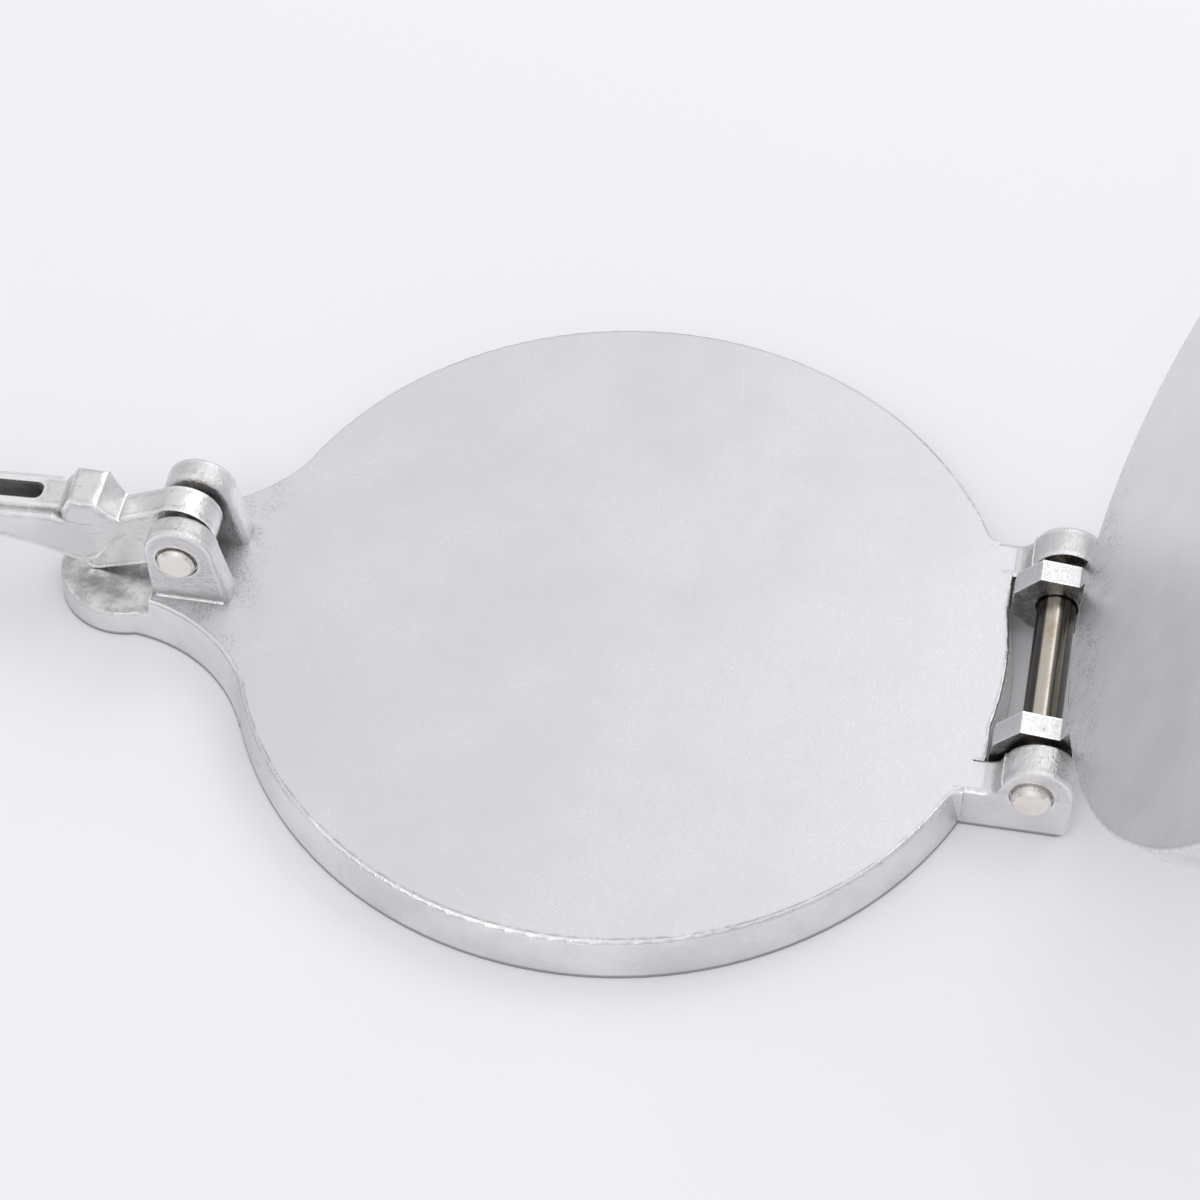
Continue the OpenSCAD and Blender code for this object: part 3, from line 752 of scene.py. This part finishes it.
top_cheeks = [(hinge_x, hinge_z, 0.0135, hinge_half)]
dress("top_plate", cast_aluminium("top_casting", top_skin, top_face, top_cheeks))

# %% [markdown]
# ## The lever casting
# The lever is handled most and tumbled hardest. Its skin is brighter, its relief is
# broader, and the channel along its top is darkened with painted shade.

# %% Dress the lever casting
lever_skin = dict(
    tumbled, grain=2000.0, bump=0.00014, coarser=(1.0, 1.0),
    dark=grey(0.74), light=grey(0.88), rough=(0.20, 0.32),
    edge_width=(0.0018, 0.0018), line=(0.4, 0.4),
    reach=0.007, open=0.64, shut=0.22, shade_and_grime=0.9, hollow=grey(0.13),
)
dress("lever", cast_aluminium("lever_casting", lever_skin))

# %% [markdown]
# ## The pins
# Both pins are cut from drawn steel bar and faced on a lathe. Drawing leaves faint lines
# along the shaft, and facing leaves rings on the ends. The steel is warmer than the
# castings. The rings and the lines are two noises, one read by the distance from the axis
# and one stretched along it, chosen by which way the surface looks. The shaft between the
# lugs is painted with a dark reflection, except for a painted highlight strip on top and a
# fainter painted reflection beside it, and the tips are bright all round.

# %% Dress the pins
TIP = (0.004, 0.002)  # how far in from the end the bright tip begins and is full
# a painted highlight strip and a dimmer painted reflection strip on the shaft
HIGHLIGHT_STRIP = ((-0.56, -0.44), (0.20, 0.08))  # the surface's X direction: begins, ends
DIM_STRIP = ((0.36, 0.42), (0.70, 0.62))
steel = {
    "highlight_steel": (0.54, 0.505, 0.44, 1.0), "stained": (0.45, 0.38, 0.29, 1.0),
    "dark_reflection": (0.09, 0.085, 0.078, 1.0), "dim_reflection": (0.36, 0.335, 0.28, 1.0),
    "faced": (0.91, 0.865, 0.82, 1.0), "faced_stained": (0.85, 0.79, 0.73, 1.0),
    "rough": (0.22, 0.34), "bump": 0.000004,
}


def strip(tree, row, value, begins, ends):
    """A band between two soft steps."""
    rising = spread(tree, (200, row), value, *begins)
    falling = spread(tree, (200, row - 160), value, *ends)
    return maths(tree, "MULTIPLY", (400, row - 80), rising, falling)


def turned_steel(name, axis_x, axis_z, half_length):
    """Steel for a pin whose axis runs along Y through (axis_x, axis_z), in metres."""
    material, surface, here, looks_at = start_metal(name)
    tree = material.node_tree
    moved = add(tree, "ShaderNodeMapping", (-1000, 0))
    centred = fill(moved, Vector=here, Location=(-axis_x, 0.0, -axis_z)).outputs["Vector"]
    part = split(tree, (-820, 0), centred)
    looks = split(tree, (-160, -400), looks_at)
    radius = axis_distance(tree, (-640, 100), part["X"], part["Z"])
    rings_at = fill(add(tree, "ShaderNodeCombineXYZ", (-160, 200)), X=radius)
    rings = noise_in(tree, (20, 200), rings_at.outputs["Vector"], 9000.0, 2.0, 0.6)
    lines_at = add(tree, "ShaderNodeMapping", (-160, -100))
    fill(lines_at, Vector=centred, Scale=(1.0, 0.02, 1.0))
    lines = noise_in(tree, (20, -100), lines_at.outputs["Vector"], 5000.0, 3.0, 0.6)
    endways = maths(tree, "ABSOLUTE", (20, -400), looks["Y"])
    is_end = spread(tree, (200, -400), endways, 0.9, 0.97)
    cut = blend(tree, (220, 0), is_end, lines, rings)
    stain = noise_in(tree, (20, 480), centred, 190.0, 4.0, 0.65)
    stained = spread(tree, (220, 480), stain, 0.48, 0.72)
    highlight_steel = tint(tree, (440, 480), stained, steel["highlight_steel"], steel["stained"])
    # painted reflections on the shaft: dark all round, a dim strip and a highlight strip
    dim_band = strip(tree, -920, looks["X"], *DIM_STRIP)
    shaft = tint(tree, (600, 700), dim_band, steel["dark_reflection"], steel["dim_reflection"])
    highlight_band = strip(tree, -600, looks["X"], *HIGHLIGHT_STRIP)
    shaft = tint(tree, (600, 560), highlight_band, shaft, highlight_steel)
    faced = tint(tree, (600, 860), stained, steel["faced"], steel["faced_stained"])
    reaches = maths(tree, "ABSOLUTE", (20, -1240), part["Y"])
    tip_limits = [half_length - inset for inset in TIP]
    at_tip = spread(tree, (200, -1240), reaches, *tip_limits)
    colour = tint(tree, (760, 560), at_tip, shaft, faced)
    rough = spread(tree, (440, 240), cut, 0.3, 0.7, *steel["rough"])
    height = maths(tree, "MULTIPLY", (440, -100), cut, steel["bump"])
    return finish_metal(material, surface, colour, rough, height)


dress("hinge_pin", turned_steel("hinge_pin_steel", hinge_x, hinge_z, hinge_half))
dress("lever_pin", turned_steel("lever_pin_steel", lever_x, lever_z, lever_half))

# %% [markdown]
# ## The floor
# The press stands on a pale seamless table. A large plane is enough, because the camera
# looks down and never sees its edge. It is a plain matt surface, a little paler towards
# the back, so it keeps the soft shadow of the press.

# %% Lay the floor
UNDER_FOOT = 0.05 * MM  # a gap under the press, so that the two do not share a plane
bpy.ops.mesh.primitive_plane_add(size=8.0, location=(0.0, 0.0, -UNDER_FOOT))
table_top = bpy.context.object
table_top.name = "table_top"
paper = bpy.data.materials.new("pale_table")
paper.use_nodes = True
tree = paper.node_tree
coat = fill(tree.nodes["Principled BSDF"], Roughness=0.9, Specular_IOR_Level=0.1)
table_at = add(tree, "ShaderNodeTexCoord", (-900, 0)).outputs["Object"]
mottle = noise_in(tree, (-700, 0), table_at, 9.0, 3.0, 0.5)
mottled = spread(tree, (-500, 0), mottle, 0.3, 0.7)
near_tone = tint(tree, (-300, 0), mottled, (0.915, 0.92, 0.94, 1.0), (0.93, 0.93, 0.95, 1.0))
far_side = spread(tree, (-500, -200), split(tree, (-700, -200), table_at)["Y"], 0.0, 0.35)
fill(coat, Base_Color=tint(tree, (-120, 0), far_side, near_tone, (0.965, 0.97, 0.99, 1.0)))
table_top.data.materials.append(paper)
print("floor lies", round(-table_top.location.z * 1000, 3), "mm under the press")

# %% [markdown]
# ## The light
# Bare metal has hardly any colour of its own: it shows what stands around it. A studio
# answers that with broad white surfaces. Here the world is a pale room whose walls grow
# darker towards the floor, so that upright surfaces fall a step below level ones. A large
# soft lamp hangs behind and above the press and throws the shadow softly forward, and a
# smaller one in front puts a soft edge of light on what looks this way. Both are kept at
# a level at which a colour comes out about as it is written.

# %% Light the studio
def soft_lamp(name, at, size, power):
    """A square area lamp that faces the middle of the base."""
    lamp = bpy.data.lights.new(name, "AREA")
    lamp.size = size
    lamp.energy = power
    holder = bpy.data.objects.new(name, lamp)
    holder.location = at
    holder.rotation_euler = (-Vector(at)).to_track_quat("-Z", "Y").to_euler()
    bpy.context.collection.objects.link(holder)
    print(name, "at", at, "with", power, "W")


soft_lamp("back_softbox", (0.95, 1.45, 1.85), 1.3, 8.0)
soft_lamp("front_softbox", (-0.2, -1.5, 1.9), 0.6, 4.0)

room = bpy.data.worlds.new("pale_room")
bpy.context.scene.world = room
room.use_nodes = True
tree = room.node_tree
tree.nodes.clear()
whence = add(tree, "ShaderNodeTexCoord", (-700, 0)).outputs["Generated"]
overhead = spread(tree, (-340, 0), split(tree, (-520, 0), whence)["Z"], 0.02, 0.55)
wall, ceiling = (0.42, 0.42, 0.43, 1.0), (0.985, 0.98, 1.0, 1.0)
sky = add(tree, "ShaderNodeBackground", (200, 0))
fill(sky, Color=tint(tree, (-120, 0), overhead, wall, ceiling), Strength=0.88)
sky_out = add(tree, "ShaderNodeOutputWorld", (400, 0))
fill(sky_out, Surface=sky.outputs["Background"])
bpy.context.scene.view_settings.view_transform = "Standard"
print("world strength:", sky.inputs["Strength"].default_value)
